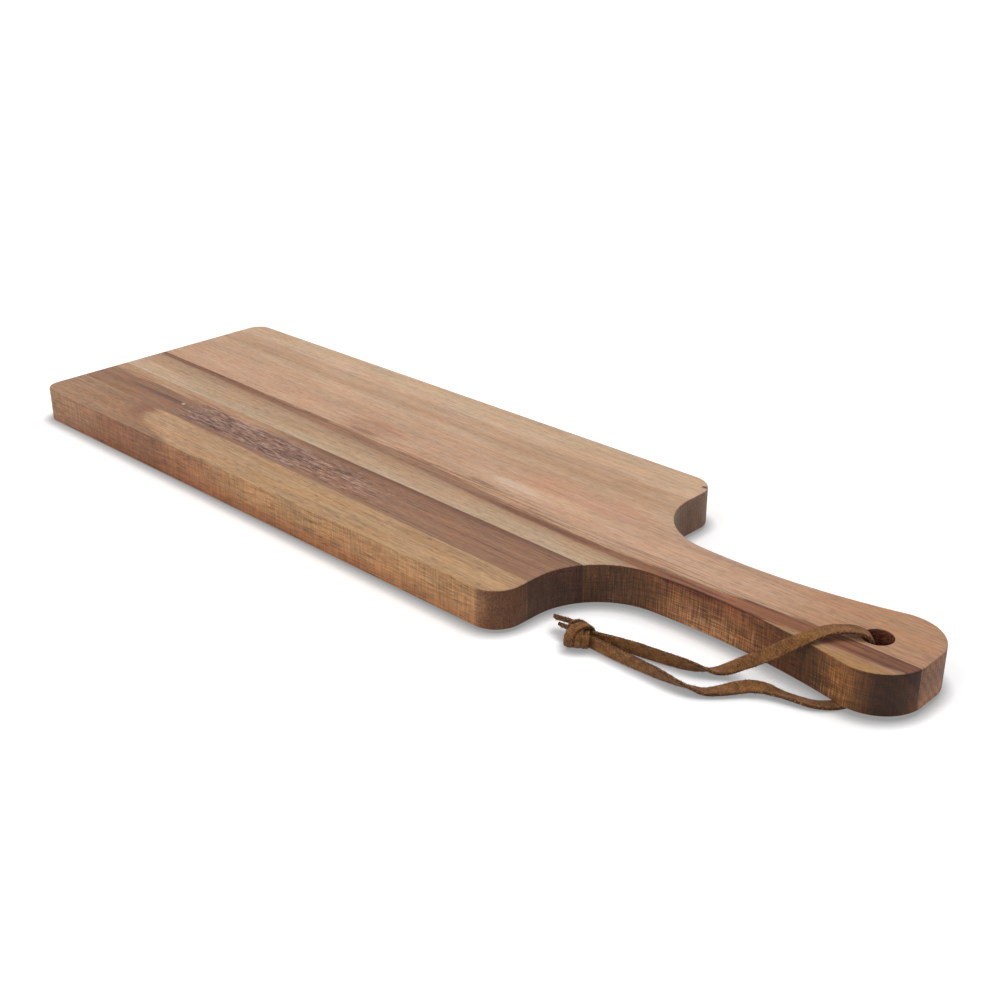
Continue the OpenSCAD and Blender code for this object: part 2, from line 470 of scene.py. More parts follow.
    def lay(self, mesh: bmesh.types.BMesh, name: str) -> bpy.types.Object:
        """Lay a flat piece on the table and make it an object.

        Args:
            mesh: The piece in board millimetres; it is used up.
            name: The object's name.

        Returns:
            The object, with the cut of each face stored on its mesh.
        """
        cuts = [(abs(f.normal.x), 1 - abs(f.normal.z)) for f in mesh.faces]
        place = (Matrix.Scale(MM, 4) @ Matrix.Translation((-self.mid_x, 0.0, 0.0))
                 @ Matrix.Rotation(-self.tip_up, 4, "Y"))
        mesh.transform(place)
        data = bpy.data.meshes.new(name)
        mesh.to_mesh(data)
        mesh.free()
        ends = data.attributes.new("end_cut", "FLOAT", "FACE")
        sides = data.attributes.new("side_cut", "FLOAT", "FACE")
        for face, (end, side) in zip(data.polygons, cuts):
            ends.data[face.index].value = end
            sides.data[face.index].value = side
            face.use_smooth = side > self.level_cut
        data.set_sharp_from_angle(angle=math.radians(self.sharp))
        return put(name, data)


@dataclass(frozen=True)
class Patch:
    """Soft ragged patch of colour: its middle along the board and across the staves, and half its sizes."""

    x: float
    v: float
    long: float
    wide: float
    tone: Tone
    share: float
    blur: float = 0.9


@dataclass(frozen=True)
class Streak:
    """Thin streak along the grain: its middle line, its widths to both sides and where it fades in and out."""

    middle: Tuple[Point2, ...]
    up: float
    down: float
    soft: float
    fuzz: float
    reach: Tuple[float, float, float, float]
    tone: Tone
    share: float


Mark = Tuple[Tone, Wire]


class Grain:
    """Wood coordinates in millimetres and the noises that all staves share."""

    STAVE_SHIFT: Point2 = (7.3, 5.7)
    NOISE_SHIFT = 3.1
    LINE_REACH = 100.0
    SIDE_TURN: Point2 = (0.4, 0.8)

    def __init__(self, bench: Bench, paddle: Paddle, seed: float, lean: float) -> None:
        """Set up the coordinates.

        Args:
            bench: Where the nodes go.
            paddle: Sizes of the board.
            seed: Offset that gives each stave its own noise.
            lean: Slope of the growth rings through the thickness.
        """
        self.bench = bench
        self.seed = seed
        self.length = paddle.board_l
        self.body = paddle.body_l
        self.hole = (paddle.hole_x, paddle.hole_set)
        x, self.y, z = bench.place()
        self.x = x + paddle.mid_x
        self.z = z - self.x * math.sin(paddle.tip_up)
        self.v = self.y + self.x * math.tan(math.radians(paddle.stave_skew))
        self.end = bench.attribute("end_cut")
        self.side = bench.attribute("side_cut")
        self.cloud = self.noise(60, 14, 1.0) - 0.5
        self.fibre = self.noise(28, 0.9, 3.0, 3.0) - 0.5
        self.hair = self.noise(8, 0.42, 5.0, 3.0, 0.6) - 0.5
        broad = self.noise(170, 24, 2.0) - 0.5
        self.deep = (self.z - paddle.board_t) * lean
        self.ring = self.v + broad * 5 + self.cloud * 2.5 + self.fibre * 2 + self.deep

    def noise(self, along: float, across: float, seed: float, detail: float = 2.0, rough: float = 0.5) -> Wire:
        """Read noise about 0.5 that is drawn out along the grain.

        Args:
            along: Length of its cells.
            across: Width of its cells.
            seed: Picks one of the stave's noises.
            detail: Number of finer layers.
            rough: Weight of the finer layers.

        Returns:
            The noise.
        """
        place = (self.x / along + (self.seed * self.STAVE_SHIFT[0] + seed * self.NOISE_SHIFT),
                 self.v / across + self.seed * self.STAVE_SHIFT[1], self.z / across)
        return self.bench.noise(place, detail, rough)

    def line(self, points: Sequence[Point2]) -> Wire:
        """Draw a line from the square end to the tip.

        Args:
            points: Places along the board and across the staves.

        Returns:
            Its place across the staves.
        """
        low, reach = -self.LINE_REACH, 2 * self.LINE_REACH
        drawn = [(x / self.length, (v - low) / reach) for x, v in points]
        return self.bench.curve(self.x / self.length, drawn) * reach + low

    def band(self, upper: Wire, lower: Wire, soft_up: float, soft_low: float, fuzz: float = 6.0) -> Wire:
        """Mask of a band between two lines.

        Args:
            upper: Far line.
            lower: Near line.
            soft_up: Width of its fade at the far line.
            soft_low: Width of its fade at the near line.
            fuzz: How ragged its edges are.

        Returns:
            1 inside the band, 0 outside.
        """
        place = self.v + self.deep + self.fibre * fuzz + self.hair * 2
        return (upper - place).step(0.0, soft_up) * (place - lower).step(0.0, soft_low)

    def grit(self, cell: Point3, detail: float = 1.0) -> Wire:
        """Read noise about 0 in cells of this size along the board, across it and upward."""
        return self.bench.noise([a / size for a, size in zip((self.x, self.y, self.z), cell)], detail) - 0.5

    def span(self, start: float, rise: float, fall: float, end: float) -> Wire:
        """Mask along the board: 0 before start, 1 from rise to fall, 0 after end."""
        return self.x.step(start, rise) * self.x.step(end, fall)

    def spot(self, patch: Patch) -> Mark:
        """Lay out a soft ragged patch.

        Args:
            patch: Its place, sizes and colour.

        Returns:
            Its colour and share.
        """
        a = (self.x + self.cloud * patch.long - patch.x) / patch.long
        b = (self.v + self.fibre * 8 + self.cloud * patch.wide - patch.v) / patch.wide
        return patch.tone, (a * a + b * b).step(1.0 + patch.blur, 1.0 - patch.blur) * patch.share

    def streak(self, mark: Streak) -> Mark:
        """Lay out a thin streak.

        Args:
            mark: Its line, widths and colour.

        Returns:
            Its colour and share.
        """
        middle = self.line(mark.middle)
        along = self.band(middle + mark.up, middle - mark.down, mark.soft, mark.soft, mark.fuzz)
        return mark.tone, along * self.span(*mark.reach) * mark.share


@dataclass(frozen=True)
class StaveFinish:
    """Oiled hardwood of one stave: bands of colour across the rings, then its own figure.

    The lean is the slope of the rings through the thickness, and corner is how early painted shade darkens the
    shoulder's bend.
    The places of the sawn sides are in millimetres from the square end, and their curves go by how far a face is
    turned to the end.
    """

    SAW_CELL = (0.42, 0.42, 9)
    WEAVE_CELL = (9, 9, 0.4)
    PATCH_CELL = (16, 16, 7)
    SPECK_CELL = (1.4, 0.5, 0.5)
    END_CUT = ((0.0, 0.0), (0.17, 0.1), (0.3, 0.45), (0.44, 0.8), (0.6, 1.0), (1.0, 1.0))
    # Painted shade on the shoulder's bend, by how far a face turns to the end.
    CORNER_SHADE = ((0.0, 0.0), (0.08, 0.35), (0.2, 0.62), (0.4, 0.85), (0.6, 1.0), (1.0, 1.0))
    NOSE_SHADE = ((0.0, 1.0), (0.3, 0.85), (0.5, 0.5), (0.7, 0.45), (0.85, 0.6), (1.0, 1.0))
    FOOT_FADE = (330, 230)
    SWIRL = (30, 75, 125, 185)
    BEND = (326, 336)
    HANDLE = (348, 360)
    # Painted shade in the handle's hollow beside the fillet.
    HOLLOW_SHADE = (402, 374)
    GRIP = (442, 468)
    TIP = (476, 486)
    UNWORN = (480, 490)
    TIP_RINGS = (484, 492)
    NOSE = (496, 499)
    LIT_NECK = (388, 402, 425, 450)
    LIT_TURN = (460, 467, 475, 482)
    PALE_NECK = (384, 394, 415, 440)
    DEEPEST_MARK = -0.55

    name: str
    slot: str
    seed: float
    lean: float
    bands: Tuple[Tuple[float, Tone], ...]
    contrast: float = 1.35
    end_tint: Colour = (0.42, 0.36, 0.33, 1.0)
    side_tone: Tuple[Point2, ...] = ((0.0, 1.0), (1.0, 1.0))
    corner: float = 0.0
    red_tint: Colour = (1.04, 0.95, 0.88, 1.0)
    flank_tint: Colour = (0.95, 0.87, 0.76, 1.0)
    foot_tint: Colour = (0.89, 0.79, 0.75, 1.0)
    swirl_tint: Colour = (0.82, 0.69, 0.64, 1.0)
    # Handle sides: darker for their cross-cut grain, and painted shade from the body.
    milled_and_shaded_tint: Colour = (0.58, 0.365, 0.235, 1.0)
    grip_tint: Colour = (0.88, 1.04, 1.16, 1.0)
    # Painted highlight: pale threads where light catches the sawn sides.
    lit_thread_tone: Tone = (172, 136, 104)
    relief: float = 0.00010
    gloss: float = 0.30

    def figure(self, grain: Grain, colour: Wire) -> Wire:
        """Add the marks that only this stave has; plain staves have none."""
        return colour

    def sawn(self, grain: Grain, colour: Wire) -> Wire:
        """Darken the sawn sides: most where the saw cut across the fibres, and all along the handle, where part of
        the darkening is painted shade; pale threads where lit are a painted highlight.

        Args:
            grain: The stave's coordinates.
            colour: Colour of the faces.

        Returns:
            The colour with its sides.
        """
        bench, x, y, z = grain.bench, grain.x, grain.y, grain.z
        saw, weave = grain.grit(self.SAW_CELL), grain.grit(self.WEAVE_CELL)
        patch, speck = grain.grit(self.PATCH_CELL, 3.0), grain.grit(self.SPECK_CELL, 2.0)
        handle = x.step(*self.HANDLE)
        tone = bench.curve((x - grain.body) / (grain.length - grain.body), self.side_tone)
        cut = bench.curve(grain.end, self.END_CUT)
        # Painted shade on the shoulder's bend, darkening it before its end grain shows.
        if self.corner:
            early_shade = bench.curve(grain.end, self.CORNER_SHADE)
            cut = bench.math("MAXIMUM", cut, early_shade * x.step(*self.BEND) * self.corner)
        flank = bench.tint(colour, self.flank_tint)
        flank = bench.tint(flank, self.foot_tint, z.step(10, 1) * x.step(*self.FOOT_FADE))
        flank = bench.tint(flank, self.swirl_tint, grain.span(*self.SWIRL))
        # Handle sides: cross-cut grain plus painted shade from the body.
        milled_and_shaded = bench.tint(bench.tint(colour, self.milled_and_shaded_tint), self.grip_tint, x.step(*self.GRIP))
        # Painted shade in the hollow beside the fillet.
        milled_and_shaded = bench.scale(milled_and_shaded, 1 - x.step(*self.HOLLOW_SHADE) * 0.3)
        across = bench.scale(bench.tint(colour, self.end_tint), 1 + speck * 1.1)
        sides = bench.mix(bench.mix(flank, milled_and_shaded, handle), across, cut)
        nose = bench.curve(grain.end, self.NOSE_SHADE)
        sides = bench.scale(sides, (1 - x.step(*self.TIP) * (1 - nose)) * tone)
        worn = handle * (1 - x.step(*self.UNWORN) * 0.7)
        marks = saw * (1.0 + worn * 1.3) + weave * (0.3 + worn * 1.4) + patch * (0.6 + worn * 0.6)
        marks = bench.math("MAXIMUM", marks, self.DEEPEST_MARK)
        # Painted highlight: pale threads on the sawn sides, only where they are lit.
        lit = grain.span(*self.LIT_NECK) + grain.span(*self.LIT_TURN) * 0.7
        lit_thread = (saw + weave).step(0.02, 0.22) * lit
        sides = bench.stain(sides, (self.lit_thread_tone, lit_thread * z.step(14, 5) * 0.45))
        rings = bench.math("SINE", y * 1.5 + z * 1.1 + patch * 6) * x.step(*self.TIP_RINGS) * 0.16
        low = z.step(10, 2) * (grain.span(*self.PALE_NECK) * 0.45 + x.step(*self.NOSE) * 0.4)
        sides = bench.scale(sides, (1 + marks + rings) * (1 + low))
        return bench.mix(colour, sides, grain.side.step(*grain.SIDE_TURN))

    def make(self, paddle: Paddle) -> bpy.types.Material:
        """Build the material.

        Args:
            paddle: Sizes of the board.

        Returns:
            The material.
        """
        bench = Bench(self.name)
        grain = Grain(bench, paddle, self.seed, self.lean)
        low, reach = self.bands[0][0], self.bands[-1][0] - self.bands[0][0]
        stops = [((s - low) / reach, srgb(*tone)) for s, tone in self.bands]
        colour = self.figure(grain, bench.ramp((grain.ring - low) / reach, stops))
        blush = grain.noise(34, 9, 8.0, 3.0).step(0.42, 0.62)
        colour = bench.tint(colour, self.red_tint, blush * 0.7)
        dark_ticks = grain.noise(5.0, 0.42, 7.0, 1.0).step(0.56, 0.72)
        pale_ticks = grain.noise(6.0, 0.5, 9.0, 1.0).step(0.58, 0.72)
        tone = grain.fibre * 0.55 + grain.hair * 0.60 - dark_ticks * 0.20 + pale_ticks * 0.10
        colour = bench.scale(colour, 1.03 + grain.cloud * 0.3 + tone * self.contrast)
        rough = 0.58 + grain.hair * 0.4 + dark_ticks * 0.1
        height = 0.5 + grain.hair - dark_ticks * 0.5
        return bench.close(self.sawn(grain, colour), rough, height, self.relief, gloss=self.gloss)


@dataclass(frozen=True)
class NearFinish(StaveFinish):
    """Tan near stave with a brown swirl beside a knot."""

    RIM = ((0.0, 0.93), (0.2, 0.82), (0.4, 0.70), (0.6, 0.65), (0.8, 0.64), (1.0, 0.65))

    def figure(self, grain: Grain, colour: Wire) -> Wire:
        """Add the brown swirl at the square end, its dark rim and the pale wood beyond it.

        Args:
            grain: The stave's coordinates.
            colour: Colour of its bands.

        Returns:
            The colour with its marks.
        """
        bench, x, v = grain.bench, grain.x, grain.v
        off = x + grain.cloud * 30 + grain.fibre * 8 - bench.curve((v + 76) / 28, self.RIM) * 130
        brown = bench.mix(srgb(170, 134, 106), srgb(163, 126, 99), x.step(14, 48))
        rings = bench.math("SINE", off * 0.55 + v * 0.3) * 0.5 + 0.5
        crescent = off.step(6.0, -7.0) * off.step(-28.0, -8.0) * v.step(-70, -58)
        return bench.stain(
            colour, ((187, 150, 120), off.step(-4.0, 14.0) * x.step(200, 110) * 0.5),
            (brown, off.step(9.0, -10.0)),
            ((150, 112, 88), rings * off.step(2.0, -3.0) * off.step(-50.0, -20.0) * 0.35),
            ((142, 100, 78), crescent * 0.75))


@dataclass(frozen=True)
class DarkFinish(StaveFinish):
    """Purple-brown stave, mottled grey and black in the middle."""

    STREAKS = (
        Streak(((0, -36.5), (60, -36.2), (500, -36.0)), 2.4, 2.2, 2.0, 8.0, (22, 44, 74, 92), (104, 80, 72), 0.8),
        Streak(((0, -43.6), (110, -43.8), (500, -43.8)), 0.9, 0.9, 0.8, 2.0, (100, 106, 120, 128), (58, 40, 36), 0.9),
        Streak(((0, -29.0), (500, -29.0)), 0.8, 0.8, 0.7, 2.0, (136, 144, 158, 168), (84, 62, 56), 0.8))
    SPECK = Patch(80, -35.6, 1.1, 0.7, (232, 214, 198), 0.6, 0.3)

    def figure(self, grain: Grain, colour: Wire) -> Wire:
        """Add the tan start, the mottled stretch, the black streaks, the speck and the dark joint line.

        Args:
            grain: The stave's coordinates.
            colour: Colour of its bands.

        Returns:
            The colour with its marks.
        """
        bench, x, v, fibre, cloud = grain.bench, grain.x, grain.v, grain.fibre, grain.cloud
        tan = grain.span(-10, -5, 110, 190) * (v + fibre * 10 + cloud * 8).step(-32, -27)
        zone = grain.span(76, 102, 190, 290) * (v + cloud * 6).step(-48.5, -44)
        zone = zone * (v + cloud * 8 + fibre * 6).step(-24, -31)
        mottle = grain.noise(6.4, 0.95, 12.0, 3.0, 0.7)
        smudge = grain.noise(30, 5.5, 16.0, 2.0).step(0.40, 0.62) * x.step(210, 150)
        ground = bench.mix(srgb(158, 122, 106), srgb(151, 113, 94), x.step(150, 210))
        lines = grain.noise(70, 1.1, 13.0, 1.0).step(0.55, 0.68)
        joint = (v + fibre * 3).step(-26.0, -22.5)
        return bench.stain(
            colour, ((191, 153, 122), tan * 0.9), (ground, zone * 0.75), ((126, 97, 87), zone * smudge * 0.6),
            ((86, 62, 59), zone * mottle.step(0.49, 0.63) * 0.85),
            ((192, 162, 144), zone * mottle.step(0.48, 0.35) * 0.85),
            *[grain.streak(streak) for streak in self.STREAKS], grain.spot(self.SPECK),
            ((122, 84, 70), lines * x.step(200, 270) * 0.6),
            ((116, 80, 64), joint * x.step(140, 210) * 0.75))


@dataclass(frozen=True)
class PaleFinish(StaveFinish):
    """Pale sapwood stave with a dark heartwood streak that wanders into the handle."""

    UPPER = ((0, 5.4), (60, 5.3), (110, 5.1), (150, 4.9), (200, 4.6), (235, 3.8), (265, 1.2), (300, -1.4),
             (350, -2.6), (390, -1.0), (420, 1.2), (450, 4.8), (480, 6.2), (500, 7.0))
    LOWER = ((0, 0.6), (60, 0.0), (110, -1.2), (150, -2.8), (200, -4.2), (235, -5.0), (265, -6.4), (300, -7.8),
             (350, -8.2), (390, -8.0), (450, -5.8), (480, -4.4), (500, -3.2))
    WEIGHT = ((0.0, 0.75), (0.12, 0.95), (0.22, 0.9), (0.33, 0.56), (0.50, 0.50), (0.60, 0.86), (0.72, 1.0),
              (1.0, 1.0))

    def figure(self, grain: Grain, colour: Wire) -> Wire:
        """Add the streak, the tan above it and the yellow strip below it in the handle.

        Args:
            grain: The stave's coordinates.
            colour: Colour of its bands.

        Returns:
            The colour with its marks.
        """
        bench, x, v = grain.bench, grain.x, grain.v
        upper, lower = grain.line(self.UPPER), grain.line(self.LOWER)
        place = v + grain.deep + grain.fibre * 5
        above = (place - upper).step(-0.5, 1.5)
        lines = grain.noise(60, 0.8, 13.0, 1.0).step(0.54, 0.66)
        haze = grain.band(upper + 0.5, lower - 5.0, 1.5, 6.0)
        streak = grain.band(upper, lower, 1.0, 1.3, 5.0)
        weight = bench.curve(x / grain.length, self.WEIGHT)
        warm = bench.mix(srgb(146, 105, 80), srgb(147, 96, 68), x.step(330, 440))
        warm = bench.mix(warm, srgb(128, 83, 60), x.step(470, 490))
        core = grain.noise(80, 1.6, 14.0, 2.0).step(0.44, 0.62)
        return bench.stain(
            colour, ((204, 176, 150), v.step(-9, -13) * x.step(110, 30) * 0.5), ((193, 156, 129), above),
            ((138, 102, 82), lines * above * grain.span(130, 170, 430, 470) * 0.7),
            ((167, 127, 83), (lower - place).step(-1.6, 0.6) * x.step(400, 450)),
            ((166, 130, 104), haze * 0.65), (warm, streak * weight),
            ((100, 64, 52), streak * core * weight * (0.55 + x.step(340, 400) * 0.2)))


@dataclass(frozen=True)
class WideFinish(StaveFinish):
    """Wide pinkish tan stave with soft bands and a redder handle."""

    PATCHES = (
        Patch(300, 50, 60, 20, (180, 144, 113), 0.5), Patch(178, 15, 20, 7, (176, 131, 105), 0.6),
        Patch(318, 27, 40, 8, (200, 154, 127), 0.7), Patch(300, 15, 46, 4.5, (208, 174, 145), 0.7),
        Patch(283, 14.5, 15, 3.2, (222, 194, 170), 0.7), Patch(178, 7.6, 10, 2.4, (140, 104, 84), 0.6),
        Patch(266, 6.2, 9, 1.2, (140, 102, 80), 0.6))
    NICK = Patch(347.5, 75.6, 1.8, 1.0, (88, 56, 42), 0.9, 0.5)
    WALL_REACH = (49.0, 44.0)
    WALL_TURN = (0.3, 0.8)
    DRILL_CELL = (1.6, 1.6, 0.5)
    DRILL_MARKS = (-0.18, 0.18)
    # Dark wall of the hole: end grain and painted shade inside it.
    HOLE_WALL_SHADE: Tuple[Tone, Tone] = ((72, 40, 28), (138, 82, 56))

    def figure(self, grain: Grain, colour: Wire) -> Wire:
        """Add the red and pale patches, the fine dark lines and the nick at the shoulder.

        Args:
            grain: The stave's coordinates.
            colour: Colour of its bands.

        Returns:
            The colour with its marks.
        """
        lines = grain.noise(46, 0.9, 13.0, 1.0).step(0.56, 0.70)
        dashes = grain.noise(9, 0.7, 15.0, 1.0).step(0.60, 0.70)
        return grain.bench.stain(
            colour, *[grain.spot(patch) for patch in self.PATCHES],
            ((180, 136, 103), grain.x.step(405, 470) * 0.85),
            ((146, 108, 86), lines * grain.v.step(14, 6) * grain.x.step(130, 200) * 0.6),
            ((134, 94, 70), dashes * grain.x.step(380, 430) * 0.4), grain.spot(self.NICK))

    def sawn(self, grain: Grain, colour: Wire) -> Wire:
        """Darken the sides and paint the drilled wall of the hole dark: its end grain and painted shade inside the
        hole.

        Args:
            grain: The stave's coordinates.
            colour: Colour of the faces.

        Returns:
            The colour with its sides.
        """
        bench = grain.bench
        off_x, off_y = grain.x - grain.hole[0], grain.y - grain.hole[1]
        # The hole's wall: end grain plus painted shade inside the hole, with drill marks.
        wall = (off_x * off_x + off_y * off_y).step(*self.WALL_REACH) * grain.side.step(*self.WALL_TURN)
        drilled = grain.grit(self.DRILL_CELL, 2.0).step(*self.DRILL_MARKS)
        shaded_hole_wall = bench.mix(*(srgb(*tone) for tone in self.HOLE_WALL_SHADE), drilled)
        return bench.mix(super().sawn(grain, colour), shaded_hole_wall, wall)


@dataclass(frozen=True)
class GlueFinish:
    """Cured wood glue in a thin dark line."""

    name: str = "cured_glue"
    slot: str = "glue"
    dark_tone: Tone = (120, 88, 68)
    light_tone: Tone = (168, 132, 106)
    side_shade: float = 0.72
    seed: float = 9.0
    lean: float = 0.0
    relief: float = 0.00004

    def make(self, paddle: Paddle) -> bpy.types.Material:
        """Build the material; the line takes a little of the wood's tone.

        Args:
            paddle: Sizes of the board.

        Returns:
            The material.
        """
        bench = Bench(self.name)
        grain = Grain(bench, paddle, self.seed, self.lean)
        blot = grain.noise(8, 2, 1.0)
        colour = bench.mix(srgb(*self.dark_tone), srgb(*self.light_tone), blot)
        colour = bench.scale(colour, 1 - grain.side.step(*grain.SIDE_TURN) * self.side_shade)
        return bench.close(colour, 0.5 + blot * 0.2, blot, self.relief)


@dataclass(frozen=True)
class LeatherFinish:
    """Brown suede split: matt, mottled, with dark raw edges."""

    name: str = "suede_thong"
    slot: str = "thong"
    dark_tone: Tone = (112, 71, 37)
    light_tone: Tone = (148, 101, 58)
    edge_tone: Tone = (70, 44, 26)
    pit_tone: Tone = (74, 46, 26)
    fleck_tone: Tone = (190, 142, 92)
    blot_cell: float = 3.2
    nap_cell: float = 0.5
    fleck_cell: float = 0.6
    relief: float = 0.0004
    fuzz: float = 0.15
    gloss: float = 0.2

    def make(self) -> bpy.types.Material:
        """Build the material.

        Returns:
            The material.
        """
        bench = Bench(self.name)
        place = bench.place()
        edge = bench.attribute("raw_edge")
        blot = bench.noise([part / self.blot_cell for part in place], 3.0)
        nap = bench.noise([part / self.nap_cell for part in place], 3.0, 0.65)
        x, y, z = [part / self.fleck_cell for part in place]
        fleck = bench.noise((x + 5, y, z), 1.0).step(0.56, 0.66)
        pit = bench.noise((x - 9, y, z), 1.0).step(0.56, 0.68)
        colour = bench.mix(srgb(*self.dark_tone), srgb(*self.light_tone), blot.step(0.3, 0.7))
        colour = bench.scale(colour, 0.40 + nap * 1.2)
        colour = bench.stain(colour, (self.edge_tone, edge.step(0.55, 1.0) * 0.8), (self.pit_tone, pit * 0.5),
                             (self.fleck_tone, fleck * (0.42 + edge * 0.2)))
        return bench.close(colour, 0.88 + nap * 0.1, nap, self.relief, sheen=self.fuzz, gloss=self.gloss)


class Jig(Nodes):
    """A Geometry Nodes tree with named sizes that shapes leather, in millimetres."""

    EDGE_ROUND = 0.34
    EDGE_POINTS = 3
    SECTION_POINTS = 30
    EDGE_FADE: Point2 = (0.40, 0.49)
    FINE_CELL = 1.6
    BROAD_CELL = 5.0

    def __init__(self, name: str, sizes: Sequence[str]) -> None:
        """Start the tree.

        Args:
            name: Its name.
            sizes: Names of its inputs.
        """
        super().__init__(bpy.data.node_groups.new(name, "GeometryNodeTree"))
        face = self.tree.interface
        face.new_socket("Shaped", in_out="OUTPUT", socket_type="NodeSocketGeometry")
        face.new_socket("Start", in_out="INPUT", socket_type="NodeSocketGeometry")
        kinds = [(size, "NodeSocketFloat") for size in sizes] + [("Leather", "NodeSocketMaterial")]
        self.sockets = {size: face.new_socket(size, in_out="INPUT", socket_type=kind).identifier
                        for size, kind in kinds}
        self.entry = self.node("NodeGroupInput")

    def size(self, name: str) -> Wire:
        """Read a named input."""
        return Wire(self, self.entry.outputs[name])

    def sweep(self, line: Wire) -> Wire:
        """Sweep the lace's round-edged section along a curve, with edges that wander a little.

        Args:
            line: The curve, with its normals set.

        Returns:
            The swept mesh, with its raw edges marked.
        """
        width, thick = self.size("Width"), self.size("Thickness")
        section = self.take("GeometryNodeCurvePrimitiveQuadrilateral", None, {"Width": thick, "Height": width})
        section = self.take("GeometryNodeFilletCurve", {"mode": "POLY"}, {
            "Curve": section, "Count": self.EDGE_POINTS, "Radius": thick * self.EDGE_ROUND, "Limit Radius": True})
        section = self.take("GeometryNodeResampleCurve", None, {"Curve": section, "Count": self.SECTION_POINTS})
        spot = self.split(self.take("GeometryNodeInputPosition"))
        edge = (abs(spot[1]) / width).step(*self.EDGE_FADE)
        section = self.take("GeometryNodeStoreNamedAttribute", None, {
            "Geometry": section, "Name": "raw_edge", "Value": edge})
        mesh = self.take("GeometryNodeCurveToMesh", None, {
            "Curve": line, "Profile Curve": section, "Fill Caps": True})
        fine = self.noise([c / self.FINE_CELL for c in spot], 3.0, 0.6)
        jog = fine + self.noise([c / self.BROAD_CELL + 9 for c in spot], 1.0) - 1.0
        away = self.scale(self.take("GeometryNodeInputNormal"), jog * self.size("Rough"))
        return self.take("GeometryNodeSetPosition", None, {"Geometry": mesh, "Offset": away})

    def close(self, shape: Wire) -> "Jig":
        """End the tree in a real mesh with its leather.

        Args:
            shape: What the tree has made.

        Returns:
            The tree itself.
        """
        shape = self.take("GeometryNodeSetShadeSmooth", None, {"Geometry": shape})
        shape = self.take("GeometryNodeRealizeInstances", None, {"Geometry": shape})
        shape = self.take("GeometryNodeSetMaterial", None, {"Geometry": shape, "Material": self.size("Leather")})
        self.node("NodeGroupOutput", None, {0: shape})
        return self

    def run(self, start: bpy.types.Mesh, sizes: Dict[str, float], leather: bpy.types.Material) -> bpy.types.Mesh:
        """Run the tree once.

        Args:
            start: Mesh that goes in.
            sizes: Its named sizes.
            leather: The material.

        Returns:
            The plain mesh that comes out.
        """
        holder = put("jig", start)
        tool = holder.modifiers.new("jig", "NODES")
        tool.node_group = self.tree
        for name, value in {**sizes, "Leather": leather}.items():
            tool[self.sockets[name]] = value
        made = bpy.data.meshes.new_from_object(holder.evaluated_get(bpy.context.evaluated_depsgraph_get()))
        bpy.data.objects.remove(holder)
        return made


def lace_jig() -> Jig:
    """Build the tree that sweeps a lace along points that carry its flat side's direction.

    Returns:
        The tree.
    """
    jig = Jig("lace", ("Width", "Thickness", "Rough"))
    line = jig.take("GeometryNodeMeshToCurve", None, {"Mesh": jig.size("Start")})
    flat = jig.take("GeometryNodeInputNamedAttribute", {"data_type": "FLOAT_VECTOR"}, {"Name": "flat"})
    line = jig.take("GeometryNodeSetCurveNormal", {"mode": "FREE"}, {"Curve": line, "Normal": flat})
    return jig.close(jig.sweep(line))


def wrap_jig() -> Jig:
    """Build the tree that winds a lace round the knot, along +Z.

    Returns:
        The tree.
    """
    jig = Jig("knot_wrap", ("Width", "Thickness", "Rough", "Turns", "Radius", "Length"))
    coil = jig.take("GeometryNodeCurveSpiral", None, {
        "Resolution": 48, "Rotations": jig.size("Turns"), "Start Radius": jig.size("Radius"),
        "End Radius": jig.size("Radius"), "Height": jig.size("Length")})
    coil = jig.take("GeometryNodeSetCurveNormal", {"mode": "Z_UP"}, {"Curve": coil})
    return jig.close(jig.sweep(coil))


def nap_jig() -> Jig:
    """Build the tree that sets loose fibres on the leather.

    Returns:
        The tree.
    """
    jig = Jig("nap", ("Density", "Reach", "Root"))
    tilt, full_turn, shortest = 1.1, 6.28, 0.35
    spread = jig.node("GeometryNodeDistributePointsOnFaces", None, {
        "Mesh": jig.size("Start"), "Density": jig.size("Density"), "Seed": 7})
    fibre = jig.take("GeometryNodeMeshCone", {"fill_type": "NONE"}, {
        "Vertices": 3, "Radius Top": 0.0, "Radius Bottom": jig.size("Root"), "Depth": jig.size("Reach")})
    lean = jig.take("FunctionNodeRandomValue", {"data_type": "FLOAT_VECTOR"}, {
        0: (-tilt, -tilt, 0.0), 1: (tilt, tilt, full_turn), "Seed": 3})
    turn = jig.take("FunctionNodeRotateRotation", {"rotation_space": "LOCAL"}, {
        "Rotation": Wire(jig, spread.outputs["Rotation"]),
        "Rotate By": jig.take("FunctionNodeEulerToRotation", None, {"Euler": lean})})
    length = jig.take("FunctionNodeRandomValue", {"data_type": "FLOAT"}, {2: shortest, 3: 1.0, "Seed": 5}, 1)
    fibres = jig.take("GeometryNodeInstanceOnPoints", None, {
        "Points": Wire(jig, spread.outputs["Points"]), "Instance": fibre, "Rotation": turn, "Scale": length})
    return jig.close(fibres)


class Strand(Enum):
    """Pieces of the lace and the frame's nodes that each stands for."""

    UPPER = ("upper_strand", ("thong_upper",))
    LOWER = ("lower_strand", ("thong_under", "thong_lower"))
    LONG_TAIL = ("long_tail", ("tail_long",))
    SHORT_TAIL = ("short_tail", ("tail_short",))
    BAND = ("knot_band", ())
    LOOP = ("knot_loop", ())
    CORE = ("knot_core", ())
    WRAP = ("knot_wrap", ("thong_knot",))
    NAP = ("loose_nap", ())

    @property
    def title(self) -> str:
        """Name of the piece."""
        return self.value[0]

    @property
    def nodes(self) -> Tuple[str, ...]:
        """Nodes that the piece stands for."""
        return self.value[1]


